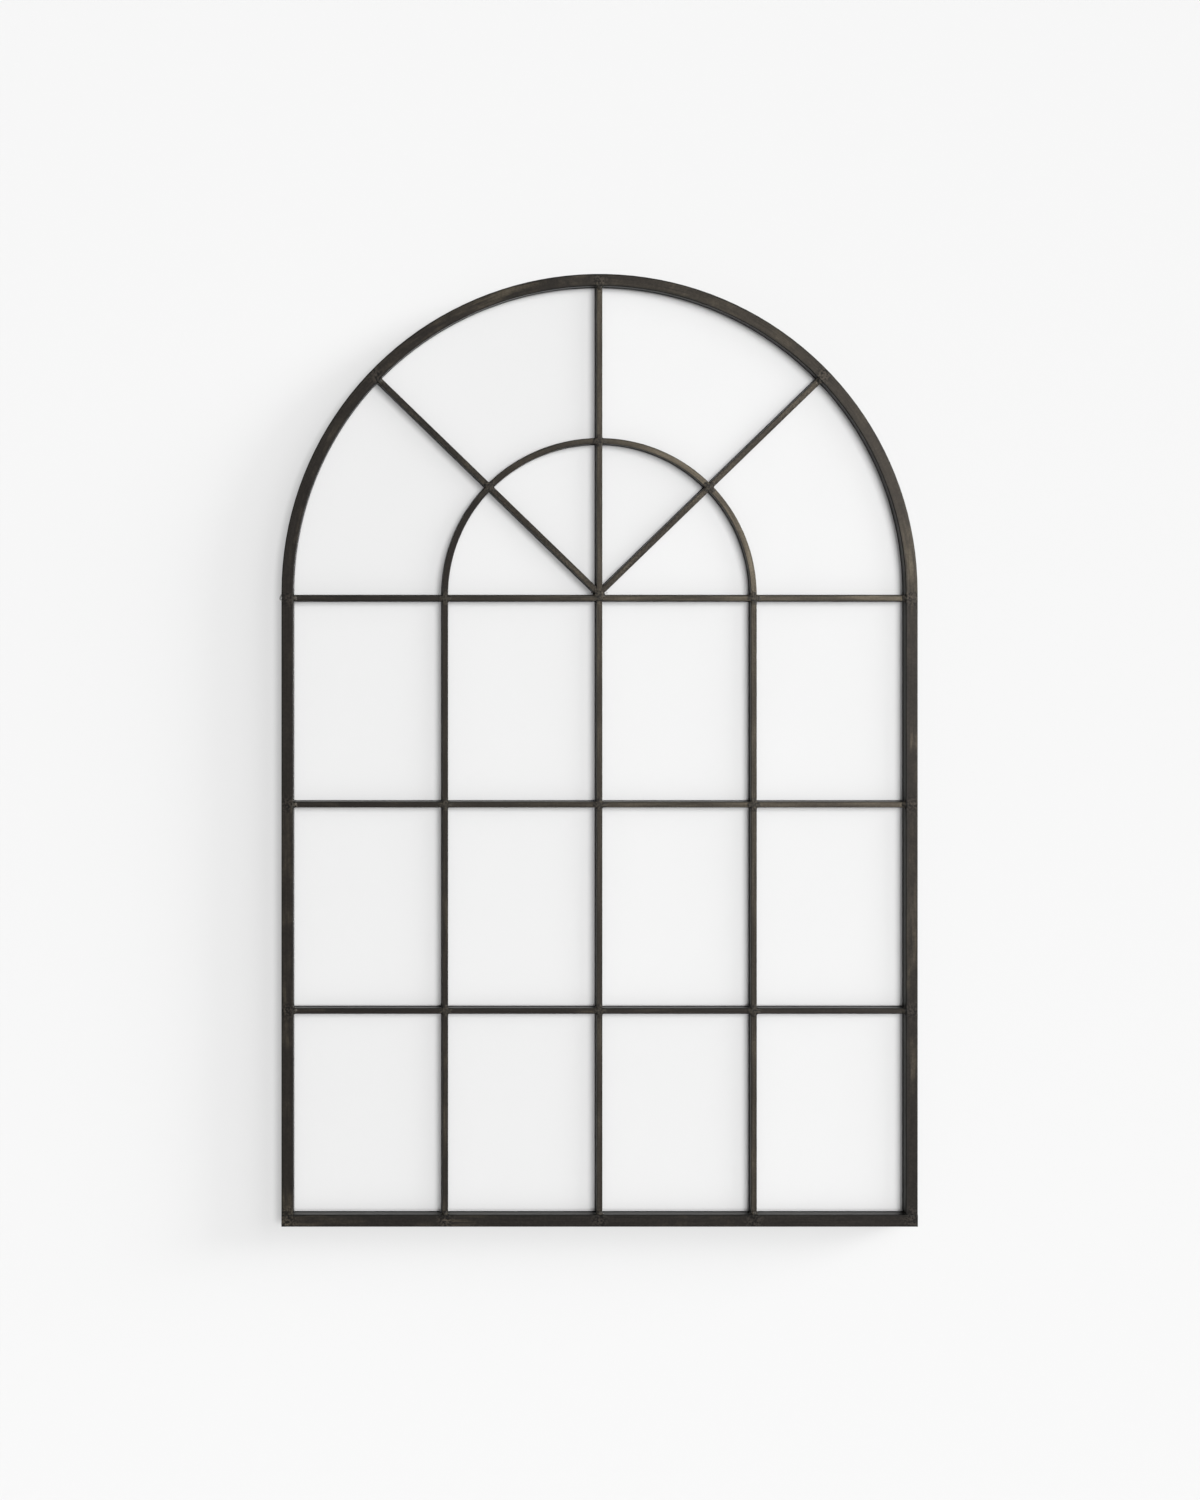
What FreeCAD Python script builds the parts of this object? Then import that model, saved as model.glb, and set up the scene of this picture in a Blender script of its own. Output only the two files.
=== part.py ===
import FreeCAD, Part
import math
import os

from FreeCAD import Vector

# Arched window mirror that hangs on a wall.
# X runs to the right, Z runs up, and the mirror faces -Y. The wall is the plane Y = 0.
# The origin is the centre of the arch on the wall plane, level with the wall hooks.
# All sizes are in millimetres and all angles in degrees.

# --- Outer frame, welded from rectangular steel tube ---
frame_width = 813.0
straight_height = 811.0      # from the springing line of the arch down to the frame's underside
frame_face = 15.5            # the tube's width as seen from the front
frame_depth = 25.0
tube_wall = 1.5
tube_edge_radius = 1.2
end_cap_thickness = 1.5

# --- Glazing bars, solid flat steel set on edge ---
bar_face = 7.5
bar_edge_radius = 0.7
bar_setback = 1.5            # how far the bars' fronts lie behind the frame's front
columns_each_side = 2        # panes between the centre line and each stile
row_count = 3
top_cross_bar_drop = 8.0     # centre of the top cross bar below the springing line
hub_drop = 2.0               # where the spokes' centre lines meet, below the springing line
spoke_angle = 44.1           # rise of each spoke above the horizontal

# --- Mirror panes and the board that carries them ---
glass_thickness = 4.0
glass_arris = 0.5            # small bevel round the front edge of each pane
pane_clearance = 0.4         # gap between a pane's edge and the bars or frame round it
pane_tip_relief = 6.5        # panes' sharp tips are nipped off this near to the hub of the spokes
pad_thickness = 1.0
pad_size = 30.0
fan_pad_spread = 9.0         # angle from a fan pane's middle to each of its pads
board_thickness = 6.0
board_clearance = 0.5

# --- Screws: pan heads with a cross recess ---
screw_radius = 2.0
screw_head_radius = 3.5
screw_head_height = 2.2
screw_head_rounding = 1.2
screw_reach = 8.0            # length of shank inside the tube
screw_hole_clearance = 0.1
recess_length = 4.0
recess_width = 0.9
recess_depth = 1.3

# --- Clips that hold the board in the frame ---
clip_width = 12.0
clip_thickness = 1.5
clip_tail = 5.0              # from the clip's screw to its end on the tube
clip_reach = 23.0            # from the clip's screw to its end on the board
clip_corner_radius = 3.0
clip_arch_angles = (45.0, 90.0, 135.0)
foot_clip_height = 48.0      # lowest clip on each stile, above the frame's underside

# --- Strap hangers with a D-ring, one behind each stile ---
ring_wire_radius = 1.1
ring_half_width = 10.1       # to the middle of the wire
ring_reach = 11.5            # from the hinge line to the middle of the wire at the top
ring_running_clearance = 0.06
strap_width = 12.0
strap_sheet = 1.0            # the strap is one sheet folded round the ring
strap_length = 34.0
strap_corner_radius = 3.0
strap_screw_offsets = (18.0, 28.0)

# --- Rubber bumpers that keep the back off the wall ---
bumper_thickness = 5.0
bumper_base_radius = 6.5
bumper_tip_radius = 5.5
bumper_arch_angles = (60.0, 120.0)

# --- Planes along Y, from the wall forwards ---
frame_back = -bumper_thickness
frame_front = frame_back - frame_depth
board_front = frame_back - board_thickness
pad_front = board_front - pad_thickness
glass_front = pad_front - glass_thickness
bar_front = frame_front + bar_setback
bar_back = board_front
lap_plane = (bar_front + bar_back) / 2

# --- Lines across the front ---
frame_radius = frame_width / 2
inner_radius = frame_radius - frame_face
tube_line = frame_radius - frame_face / 2
underside = -straight_height
rail_top = underside + frame_face
column_pitch = (inner_radius + bar_face / 2) / columns_each_side
row_pitch = (-top_cross_bar_drop + bar_face / 2 - rail_top) / row_count
cross_bar_heights = [-top_cross_bar_drop - row * row_pitch for row in range(row_count)]
cross_bar_top = cross_bar_heights[0] + bar_face / 2
outer_mullion_step = columns_each_side - 1
inner_arch_radius = outer_mullion_step * column_pitch

# --- The hanger's hinge line ---
curl_radius = ring_wire_radius + ring_running_clearance + strap_sheet
hinge_height = ring_wire_radius - ring_reach
hinge_depth = frame_back + curl_radius


def section_point(u, v):
    """A point of a bar's cross-section, which is drawn square to Z."""
    return Vector(u, v, 0)


def front_point(depth):
    """Places points of an outline that is drawn as seen from the front, at one depth."""
    return lambda u, v: Vector(u, depth, v)


def rectangle_wire(u0, u1, v0, v1, radius, point):
    """A rectangle, with rounded corners where the radius isn't zero."""
    if radius == 0:
        return Part.makePolygon([point(u0, v0), point(u1, v0), point(u1, v1), point(u0, v1), point(u0, v0)])
    centres = [(u1 - radius, v0 + radius), (u1 - radius, v1 - radius), (u0 + radius, v1 - radius),
               (u0 + radius, v0 + radius)]
    edges = []
    last_end = None
    for quarter, (cu, cv) in enumerate(centres):
        turns = [math.radians(90 * quarter - 90 + step) for step in (0, 45, 90)]
        start, middle, end = [point(cu + radius * math.cos(t), cv + radius * math.sin(t)) for t in turns]
        if last_end is not None:
            edges.append(Part.makeLine(last_end, start))
        else:
            first_start = start
        edges.append(Part.Arc(start, middle, end).toShape())
        last_end = end
    edges.append(Part.makeLine(last_end, first_start))
    return Part.Wire(edges)


def rectangle_face(u0, u1, v0, v1, radius=0.0, point=section_point):
    return Part.Face(rectangle_wire(u0, u1, v0, v1, radius, point))


def plate(x0, x1, z0, z1, back, front, radius=0.0):
    """A flat plate that faces the front, between two depths."""
    face = rectangle_face(x0, x1, z0, z1, radius, front_point(back))
    return face.extrude(Vector(0, front - back, 0))


def tube_section(middle):
    """The frame tube's hollow section, centred on a distance from the section's own zero line."""
    low = middle - frame_face / 2
    high = middle + frame_face / 2
    outside = rectangle_face(low, high, frame_front, frame_back, tube_edge_radius)
    inside = rectangle_face(low + tube_wall, high - tube_wall, frame_front + tube_wall, frame_back - tube_wall)
    return outside.cut(inside).Faces[0]


def run_along(section, start, end):
    """Extrudes a section from one (x, z) point to another."""
    along_x = end[0] - start[0]
    along_z = end[1] - start[1]
    solid = section.extrude(Vector(0, 0, math.hypot(along_x, along_z)))
    solid.rotate(Vector(0, 0, 0), Vector(0, 1, 0), math.degrees(math.atan2(along_x, along_z)))
    solid.translate(Vector(start[0], 0, start[1]))
    return solid


def half_turn(section, centre_height):
    """Turns a section that is drawn at positive X into an arch that springs at the given height."""
    lifted = section.translated(Vector(0, 0, centre_height))
    return lifted.revolve(Vector(0, 0, centre_height), Vector(0, -1, 0), 180)


def arched_slab(half_width, bottom, front, back):
    """A slab with the frame's outline: straight sides and foot under a half-round top."""
    point = front_point(back)
    outline = [Part.makeLine(point(-half_width, 0), point(-half_width, bottom)),
               Part.makeLine(point(-half_width, bottom), point(half_width, bottom)),
               Part.makeLine(point(half_width, bottom), point(half_width, 0)),
               Part.Arc(point(half_width, 0), point(0, half_width), point(-half_width, 0)).toShape()]
    return Part.Face(Part.Wire(outline)).extrude(Vector(0, front - back, 0))


def placed(shape, x, z, angle):
    """Turns a shape's own +X to an angle above the row's +X, as seen from the front, and moves it."""
    copy = shape.copy()
    copy.rotate(Vector(0, 0, 0), Vector(0, 1, 0), -angle)
    copy.translate(Vector(x, 0, z))
    return copy


def on_arch(angle):
    """Where the tube's middle line lies at an angle of the arch, and the angle that points inwards."""
    return (tube_line * math.cos(math.radians(angle)), tube_line * math.sin(math.radians(angle)), angle + 180)


# --- Glazing bars ---

class StraightBar:
    """A flat bar between two (x, z) points."""

    def __init__(self, start, end):
        self.start = start
        self.end = end
        half = bar_face / 2
        self.solid = run_along(rectangle_face(-half, half, bar_front, bar_back, bar_edge_radius), start, end)

    def envelope(self, front, back, margin=0.0):
        half = bar_face / 2 + margin
        return run_along(rectangle_face(-half, half, front, back), self.start, self.end)


class ArchedBar:
    """A flat bar bent to a half circle that stands on the top cross bar."""

    def __init__(self, radius, centre_height):
        self.radius = radius
        self.centre_height = centre_height
        half = bar_face / 2
        section = rectangle_face(radius - half, radius + half, bar_front, bar_back, bar_edge_radius)
        self.solid = half_turn(section, centre_height)

    def envelope(self, front, back, margin=0.0):
        half = bar_face / 2 + margin
        section = rectangle_face(self.radius - half, self.radius + half, front, back)
        return half_turn(section, self.centre_height)


def lap(front_bar, rear_bar):
    """Half-laps two bars where they cross, so that the first one passes in front."""
    front_bar.solid = front_bar.solid.cut(rear_bar.envelope(lap_plane, bar_back))
    rear_bar.solid = rear_bar.solid.cut(front_bar.envelope(bar_front, lap_plane))


def mullion_name(step):
    if step == 0:
        return "centre_mullion"
    side = "left" if step < 0 else "right"
    if abs(step) == outer_mullion_step:
        return side + "_mullion"
    return "%s_mullion_%d" % (side, abs(step))


def glazing_bars():
    """The whole lattice, as bars by name."""
    cross_bars = {"cross_bar_%d" % (row + 1): StraightBar((-inner_radius, height), (inner_radius, height))
                  for row, height in enumerate(cross_bar_heights)}
    mullions = {}
    for step in range(-outer_mullion_step, outer_mullion_step + 1):
        top = frame_radius if step == 0 else cross_bar_top
        mullions[mullion_name(step)] = StraightBar((step * column_pitch, rail_top), (step * column_pitch, top))
    spokes = {}
    for name, angle in (("left_spoke", 180 - spoke_angle), ("right_spoke", spoke_angle)):
        turn = math.radians(angle)
        tip = (frame_radius * math.cos(turn), frame_radius * math.sin(turn) - hub_drop)
        spokes[name] = StraightBar((0, -hub_drop), tip)
    inner_arch = ArchedBar(inner_arch_radius, cross_bar_top)

    centre = mullions["centre_mullion"]
    for spoke in spokes.values():
        spoke.solid = spoke.solid.cut(centre.envelope(bar_front, bar_back))
        spoke.solid = spoke.solid.cut(cross_bars["cross_bar_1"].envelope(bar_front, bar_back))
    for cross_bar in cross_bars.values():
        for mullion in mullions.values():
            lap(cross_bar, mullion)
    opening = arched_slab(inner_radius, rail_top, bar_front, bar_back)
    for crossing in (centre, *spokes.values()):
        lap(inner_arch, crossing)
        crossing.solid = crossing.solid.common(opening)
    return {**cross_bars, **mullions, **spokes, "inner_arch": inner_arch}


# --- Mirror panes, pads and board ---

def bevelled(pane):
    """Takes the arris off the front edge of a pane."""
    def on_front(edge):
        return all(abs(vertex.Y - glass_front) < 1e-6 for vertex in edge.Vertexes)
    return pane.makeChamfer(glass_arris, [edge for edge in pane.Edges if on_front(edge)]).Solids[0]


def pane_name(pane):
    """Names a pane by its row and column, or by its place in the fan above the springing line."""
    middle = pane.CenterOfMass
    if middle.z < cross_bar_heights[0]:
        row = int((cross_bar_heights[0] - middle.z) // row_pitch) + 1
        column = int(middle.x // column_pitch + columns_each_side) + 1
        return "pane_row_%d_column_%d" % (row, column)
    turn = math.degrees(math.atan2(middle.z + hub_drop, middle.x))
    if middle.x < 0:
        place = 1 if turn > 180 - spoke_angle else 2
    else:
        place = 4 if turn < spoke_angle else 3
    ring = "outer" if math.hypot(middle.x, middle.z) > inner_arch_radius else "inner"
    return "fan_pane_%s_%d" % (ring, place)


def mirror_panes(bars):
    """One arched sheet of mirror, cut along every bar into loose panes."""
    sheet = arched_slab(inner_radius - pane_clearance, rail_top + pane_clearance, glass_front, pad_front)
    for bar in bars.values():
        sheet = sheet.cut(bar.envelope(glass_front - 1, pad_front + 1, pane_clearance))
    sheet = sheet.cut(placed(hole(pane_tip_relief, pad_front + 1, glass_front - 1), 0, -hub_drop, 0))
    return {pane_name(pane): bevelled(pane) for pane in sheet.Solids}


def pad_places(name, pane):
    """The middles of the adhesive pads behind a pane, as (x, z, angle)."""
    middle = pane.CenterOfMass
    if name.startswith("pane"):
        across = (column_pitch - bar_face) / 4
        up = (row_pitch - bar_face) / 4
        return [(middle.x + sx * across, middle.z + sz * up, 0) for sx in (-1, 1) for sz in (-1, 1)]
    reach = math.hypot(middle.x, middle.z)
    turn = math.degrees(math.atan2(middle.z, middle.x))
    turns = (turn,) if "inner" in name else (turn - fan_pad_spread, turn + fan_pad_spread)
    return [(reach * math.cos(math.radians(t)), reach * math.sin(math.radians(t)), t) for t in turns]


def adhesive_pads(panes):
    half = pad_size / 2
    pad = plate(-half, half, -half, half, board_front, pad_front)
    return Part.makeCompound([placed(pad, *place) for name, pane in panes.items()
                              for place in pad_places(name, pane)])


# --- Fasteners on the back ---

def screw(seat):
    """A screw along Y whose head sits on the plane at the given depth."""
    rim = seat + screw_head_height
    tip = frame_back - screw_reach
    corner = screw_head_rounding * math.sqrt(0.5)
    dome_u = screw_head_radius - screw_head_rounding
    dome_v = rim - screw_head_rounding
    points = [section_point(*p) for p in ((0, rim), (0, tip), (screw_radius, tip), (screw_radius, seat),
                                          (screw_head_radius, seat), (screw_head_radius, dome_v))]
    outline = Part.makePolygon(points).Edges
    dome_end = section_point(dome_u, rim)
    outline.append(Part.Arc(points[-1], section_point(dome_u + corner, dome_v + corner), dome_end).toShape())
    outline.append(Part.makeLine(dome_end, points[0]))
    body = Part.Face(Part.Wire(outline)).revolve(Vector(0, 0, 0), Vector(0, 1, 0), 360)
    long = recess_length / 2
    short = recess_width / 2
    for u, v in ((long, short), (short, long)):
        body = body.cut(plate(-u, u, -v, v, rim - recess_depth, rim + 1))
    return body


def hole(radius, back, front):
    """A cutter for a round hole along Y."""
    return Part.makeCylinder(radius, back - front, Vector(0, front, 0), Vector(0, 1, 0))


def clip_places():
    """Every clip's screw, as (x, z, angle that points inwards)."""
    heights = cross_bar_heights[1:] + [underside + foot_clip_height]
    places = [(-tube_line, height, 0) for height in heights]
    places += [(tube_line, height, 180) for height in heights]
    places += [on_arch(angle) for angle in clip_arch_angles]
    places += [(side * inner_arch_radius, underside + frame_face / 2, 90) for side in (-1, 1)]
    return places


def retaining_clips():
    top = frame_back + clip_thickness
    clip = plate(-clip_tail, clip_reach, -clip_width / 2, clip_width / 2, frame_back, top, clip_corner_radius)
    clip = clip.cut(hole(screw_radius + screw_hole_clearance, top + 1, frame_back - 1))
    return Part.makeCompound([placed(clip, *place) for place in clip_places()])


def strap_screw_places():
    return [(side * tube_line, hinge_height - offset, 0) for side in (-1, 1) for offset in strap_screw_offsets]


def screws(places, seat):
    one = screw(seat)
    return Part.makeCompound([placed(one, *place) for place in places])


# --- Outer frame ---

def tapped(tube, holes):
    """Opens the screw holes in the back wall of a tube."""
    cutter = hole(screw_radius + screw_hole_clearance, frame_back + 1, frame_back - tube_wall - 1)
    for place in holes:
        tube = tube.cut(placed(cutter, *place))
    return tube


def stile(side):
    places = [p for p in clip_places() + strap_screw_places() if p[0] * side > 0 and rail_top < p[1] < 0]
    tube = run_along(tube_section(side * tube_line), (0, rail_top), (0, 0))
    return tapped(tube, places)


def arch_tube():
    return tapped(half_turn(tube_section(tube_line), 0), [p for p in clip_places() if p[1] > 0])


def bottom_rail():
    half_length = frame_radius - end_cap_thickness
    middle = underside + frame_face / 2
    tube = run_along(tube_section(0), (-half_length, middle), (half_length, middle))
    return tapped(tube, [p for p in clip_places() if p[1] < rail_top])


def rail_end_caps():
    """Plates that are welded over the open ends of the bottom rail."""
    section = rectangle_face(-frame_face / 2, frame_face / 2, frame_front, frame_back, tube_edge_radius)
    middle = underside + frame_face / 2
    inner = frame_radius - end_cap_thickness
    return Part.makeCompound([run_along(section, (side * inner, middle), (side * frame_radius, middle))
                              for side in (-1, 1)])


# --- Hangers ---

def hanger_strap(side):
    """A strap folded round the ring's straight side, with its tail screwed to the stile."""
    half = strap_width / 2
    tail = plate(-half, half, hinge_height - strap_length, hinge_height, frame_back,
                 frame_back + 2 * strap_sheet, strap_corner_radius)
    square_top = plate(-half, half, hinge_height - strap_corner_radius, hinge_height, frame_back,
                       frame_back + 2 * strap_sheet)
    start = Vector(-half, hinge_depth, hinge_height)
    curl = Part.makeCylinder(curl_radius, strap_width, start, Vector(1, 0, 0))
    bore = Part.makeCylinder(ring_wire_radius + ring_running_clearance, strap_width + 2,
                             start - Vector(1, 0, 0), Vector(1, 0, 0))
    strap = tail.fuse([square_top, curl]).removeSplitter().cut(bore)
    for offset in strap_screw_offsets:
        cutter = hole(screw_radius + screw_hole_clearance, 0, frame_back - 1)
        strap = strap.cut(placed(cutter, 0, hinge_height - offset, 0))
    return strap.translated(Vector(side * tube_line, 0, 0))


def hanger_ring(side):
    """A D-shaped wire ring whose straight side lies in the strap's fold."""
    corner = ring_reach - ring_half_width
    straight = ring_half_width - corner
    diagonal = corner * math.sqrt(0.5)

    def at(u, v):
        return Vector(side * tube_line + u, hinge_depth, hinge_height + v)

    right_corner = Part.Arc(at(straight, 0), at(straight + diagonal, corner - diagonal), at(ring_half_width, corner))
    bow = Part.Arc(at(ring_half_width, corner), at(0, ring_reach), at(-ring_half_width, corner))
    left_corner = Part.Arc(at(-ring_half_width, corner), at(-straight - diagonal, corner - diagonal),
                           at(-straight, 0))
    path = Part.Wire([Part.makeLine(at(0, 0), at(straight, 0)), right_corner.toShape(), bow.toShape(),
                      left_corner.toShape(), Part.makeLine(at(-straight, 0), at(0, 0))])
    wire_section = Part.Wire(Part.makeCircle(ring_wire_radius, at(0, 0), Vector(1, 0, 0)))
    return path.makePipeShell([wire_section], True, True)


def wall_bumpers():
    bumper = Part.makeCone(bumper_base_radius, bumper_tip_radius, bumper_thickness,
                           Vector(0, frame_back, 0), Vector(0, 1, 0))
    places = [on_arch(angle) for angle in bumper_arch_angles]
    places += [(side * tube_line, underside + frame_face / 2, 0) for side in (-1, 1)]
    return Part.makeCompound([placed(bumper, *place) for place in places])


def build():
    bars = glazing_bars()
    panes = mirror_panes(bars)
    nodes = {name: bar.solid for name, bar in bars.items()}
    nodes.update(panes)
    nodes["backing_board"] = arched_slab(inner_radius - board_clearance, rail_top + board_clearance,
                                         board_front, frame_back)
    nodes["adhesive_pads"] = adhesive_pads(panes)
    nodes["left_stile"] = stile(-1)
    nodes["right_stile"] = stile(1)
    nodes["arch_tube"] = arch_tube()
    nodes["bottom_rail"] = bottom_rail()
    nodes["rail_end_caps"] = rail_end_caps()
    nodes["retaining_clips"] = retaining_clips()
    nodes["clip_screws"] = screws(clip_places(), frame_back + clip_thickness)
    for name, side in (("left", -1), ("right", 1)):
        nodes[name + "_hanger_strap"] = hanger_strap(side)
        nodes[name + "_hanger_ring"] = hanger_ring(side)
    nodes["hanger_screws"] = screws(strap_screw_places(), frame_back + 2 * strap_sheet)
    nodes["wall_bumpers"] = wall_bumpers()
    return nodes


os.makedirs("parts", exist_ok=True)
for node_name, shape in build().items():
    print("%-24s solids %2d  volume %11.1f  valid %s" % (node_name, len(shape.Solids), shape.Volume,
                                                        shape.isValid()))
    shape.exportStep("parts/%s.step" % node_name)
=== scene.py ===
"""Arched window mirror: the finishes, welds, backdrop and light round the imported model.

Metres, in the model's own frame: +X to the right, +Z up, the front faces -Y and the wall is the plane Y = 0.
"""

import math
from typing import NamedTuple

import bmesh
import bpy
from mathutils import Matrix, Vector, noise


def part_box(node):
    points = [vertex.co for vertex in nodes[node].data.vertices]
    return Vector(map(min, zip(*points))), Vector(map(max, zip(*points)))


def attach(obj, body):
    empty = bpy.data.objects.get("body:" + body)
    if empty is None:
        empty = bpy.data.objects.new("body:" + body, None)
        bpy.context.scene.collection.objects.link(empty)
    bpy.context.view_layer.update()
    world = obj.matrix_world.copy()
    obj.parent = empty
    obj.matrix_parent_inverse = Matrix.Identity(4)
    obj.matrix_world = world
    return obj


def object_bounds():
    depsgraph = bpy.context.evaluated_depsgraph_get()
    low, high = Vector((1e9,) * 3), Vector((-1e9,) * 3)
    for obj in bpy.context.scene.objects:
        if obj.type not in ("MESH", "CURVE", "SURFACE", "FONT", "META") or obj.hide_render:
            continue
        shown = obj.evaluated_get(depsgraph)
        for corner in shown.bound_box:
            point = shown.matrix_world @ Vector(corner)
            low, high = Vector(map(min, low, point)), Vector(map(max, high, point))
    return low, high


MM = 0.001

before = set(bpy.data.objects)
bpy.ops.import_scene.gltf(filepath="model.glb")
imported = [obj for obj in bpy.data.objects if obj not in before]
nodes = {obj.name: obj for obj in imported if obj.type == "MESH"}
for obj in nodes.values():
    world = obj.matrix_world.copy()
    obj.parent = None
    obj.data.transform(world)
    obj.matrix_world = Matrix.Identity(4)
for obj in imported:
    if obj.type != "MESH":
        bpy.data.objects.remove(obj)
cad_low, cad_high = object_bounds()


def middle(node):
    """The centre of a node's box."""
    low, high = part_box(node)
    return (low + high) / 2


def extent(node):
    """The size of a node's box."""
    low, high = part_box(node)
    return high - low


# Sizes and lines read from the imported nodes.
tube_line = middle("right_stile").x
tube_face = extent("right_stile").x
tube_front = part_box("right_stile")[0].y
rail_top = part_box("bottom_rail")[1].z
rail_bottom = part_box("bottom_rail")[0].z
rail_line = (rail_top + rail_bottom) / 2
column_pitch = middle("right_mullion").x
bar_face = extent("right_mullion").x
bar_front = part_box("right_mullion")[0].y
cross_heights = [middle(f"cross_bar_{row}").z for row in (1, 2, 3)]
column_lines = [-column_pitch, 0.0, column_pitch]
half_tube = tube_face / 2
half_bar = bar_face / 2
inner_edge = tube_line - half_tube
inner_arch_radius = column_pitch
inner_arch_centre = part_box("cross_bar_1")[1].z

# Sizes that the boxes don't give.
SPOKE_ANGLE = math.radians(44.1)
HUB = Vector((0.0, 0.0, -2.0 * MM))
BAR_EDGE_RADIUS = 0.7 * MM

RIGHT, UP, LEFT, DOWN = 0.0, math.pi / 2, math.pi, -math.pi / 2
FAN_ANGLES = (SPOKE_ANGLE, UP, math.pi - SPOKE_ANGLE)


def in_plane(angle):
    """The direction at that angle in the XZ plane."""
    return Vector((math.cos(angle), 0.0, math.sin(angle)))


def fan_point(angle, radius, centre_height=0.0):
    """Where the line from the hub at that angle meets an arch of that radius round its centre."""
    along = in_plane(angle)
    drop = HUB.z - centre_height
    rise = drop * along.z
    return HUB + along * (math.sqrt(radius ** 2 - drop ** 2 + rise ** 2) - rise)


def inner_crossing(angle):
    """Where the bar from the hub at that angle crosses the inner arch."""
    return fan_point(angle, inner_arch_radius, inner_arch_centre)


# ------------------------------------------------------------------------------------------------------
# Shader building
# ------------------------------------------------------------------------------------------------------


def grey(level):
    """The plain grey of that level."""
    return (level, level, level)


class Shader:
    """The node tree of one material or world, with short calls for the nodes used here."""

    def __init__(self, owner):
        owner.use_nodes = True
        self.tree = owner.node_tree
        self.tree.nodes.clear()

    def node(self, kind, **settings):
        made = self.tree.nodes.new("ShaderNode" + kind)
        for name, value in settings.items():
            setattr(made, name, value)
        return made

    def link(self, output, socket):
        self.tree.links.new(output, socket)

    def feed(self, socket, value):
        """Links a socket to a socket, or sets it to a plain value."""
        if isinstance(value, bpy.types.NodeSocket):
            self.link(value, socket)
        elif value is not None:
            socket.default_value = value

    def math(self, operation, *values):
        made = self.node("Math", operation=operation)
        for socket, value in zip(made.inputs, values):
            self.feed(socket, value)
        return made.outputs[0]

    def times(self, first, second):
        return self.math("MULTIPLY", first, second)

    def vector_math(self, operation, first, second=None):
        made = self.node("VectorMath", operation=operation)
        self.feed(made.inputs[0], first)
        self.feed(made.inputs[1], second)
        scalar = operation in ("DOT_PRODUCT", "LENGTH")
        return made.outputs["Value" if scalar else "Vector"]

    def stretch(self, place, scales):
        """The place with each of its three parts scaled."""
        return self.vector_math("MULTIPLY", place, scales)

    def vector(self, x, y, z):
        made = self.node("CombineXYZ")
        for socket, value in zip(made.inputs, (x, y, z)):
            self.feed(socket, value)
        return made.outputs[0]

    def split(self, vector):
        made = self.node("SeparateXYZ")
        self.feed(made.inputs[0], vector)
        return made.outputs

    def place(self):
        """The point's place in the model's frame."""
        return self.node("TexCoord").outputs["Object"]

    def noise(self, vector, scale, detail=2.0, roughness=0.5, distortion=0.0):
        made = self.node("TexNoise")
        self.feed(made.inputs["Vector"], vector)
        made.inputs["Scale"].default_value = scale
        made.inputs["Detail"].default_value = detail
        made.inputs["Roughness"].default_value = roughness
        made.inputs["Distortion"].default_value = distortion
        return made.outputs[0]

    def drawn_noise(self, run, offset, depth, along, across, detail, roughness):
        """Noise drawn out along a bar: its scale along the run, and its scale across the bar."""
        drawn = self.vector(self.times(run, along), self.times(offset, across), self.times(depth, across))
        return self.noise(drawn, 1.0, detail, roughness)

    def cells(self, vector, scale):
        """Random colours in cells that pack the surface."""
        made = self.node("TexVoronoi")
        self.feed(made.inputs["Vector"], vector)
        made.inputs["Scale"].default_value = scale
        return made.outputs["Color"]

    def fade(self, value, start, end, low=0.0, high=1.0):
        """Goes smoothly from low to high while value goes from start to end."""
        made = self.node("MapRange", interpolation_type="SMOOTHSTEP")
        for socket, part in zip(made.inputs, (value, start, end, low, high)):
            self.feed(socket, part)
        return made.outputs[0]

    def spikes(self, value, places, reach):
        """1 at each place along value, and 0 from reach away from it."""
        low, high = min(places) - reach, max(places) + reach
        scaled = self.node("MapRange")
        for socket, part in zip(scaled.inputs, (value, low, high, 0.0, 1.0)):
            self.feed(socket, part)
        ramp = self.node("ValToRGB")
        ramp.color_ramp.interpolation = "EASE"
        stops = ramp.color_ramp.elements
        stops[0].position, stops[1].position = 0.0, 1.0
        stops[0].color = stops[1].color = (0, 0, 0, 1)
        for place in sorted(places):
            for offset, level in ((-reach, 0.0), (0.0, 1.0), (reach, 0.0)):
                stop = stops.new((place + offset - low) / (high - low))
                stop.color = (level, level, level, 1)
        self.feed(ramp.inputs[0], scaled.outputs[0])
        return ramp.outputs[0]

    def mix(self, factor, first, second, blend="MIX"):
        made = self.node("Mix", data_type="RGBA", blend_type=blend)
        self.feed(made.inputs["Factor"], factor)
        for name, value in (("A", first), ("B", second)):
            if isinstance(value, tuple):
                value = (*value, 1.0)
            socket = [s for s in made.inputs if s.name == name and s.type == "RGBA"][0]
            self.feed(socket, value)
        return [s for s in made.outputs if s.type == "RGBA"][0]

    def shade(self, colour, level):
        """The colour times a grey level."""
        return self.mix(1.0, colour, self.vector(level, level, level), "MULTIPLY")

    def bump(self, height, distance, strength):
        made = self.node("Bump")
        made.inputs["Strength"].default_value = strength
        made.inputs["Distance"].default_value = distance
        self.feed(made.inputs["Height"], height)
        return made.outputs[0]

    def surface(self, **inputs):
        """Ends the tree in a Principled shader; the words are its socket names with underscores."""
        made = self.node("BsdfPrincipled")
        for name, value in inputs.items():
            self.feed(made.inputs[name.replace("_", " ")], value)
        self.link(made.outputs[0], self.node("OutputMaterial").inputs[0])


def material(name):
    """A new material, and the shader that builds its tree."""
    made = bpy.data.materials.new(name)
    return made, Shader(made)


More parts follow.
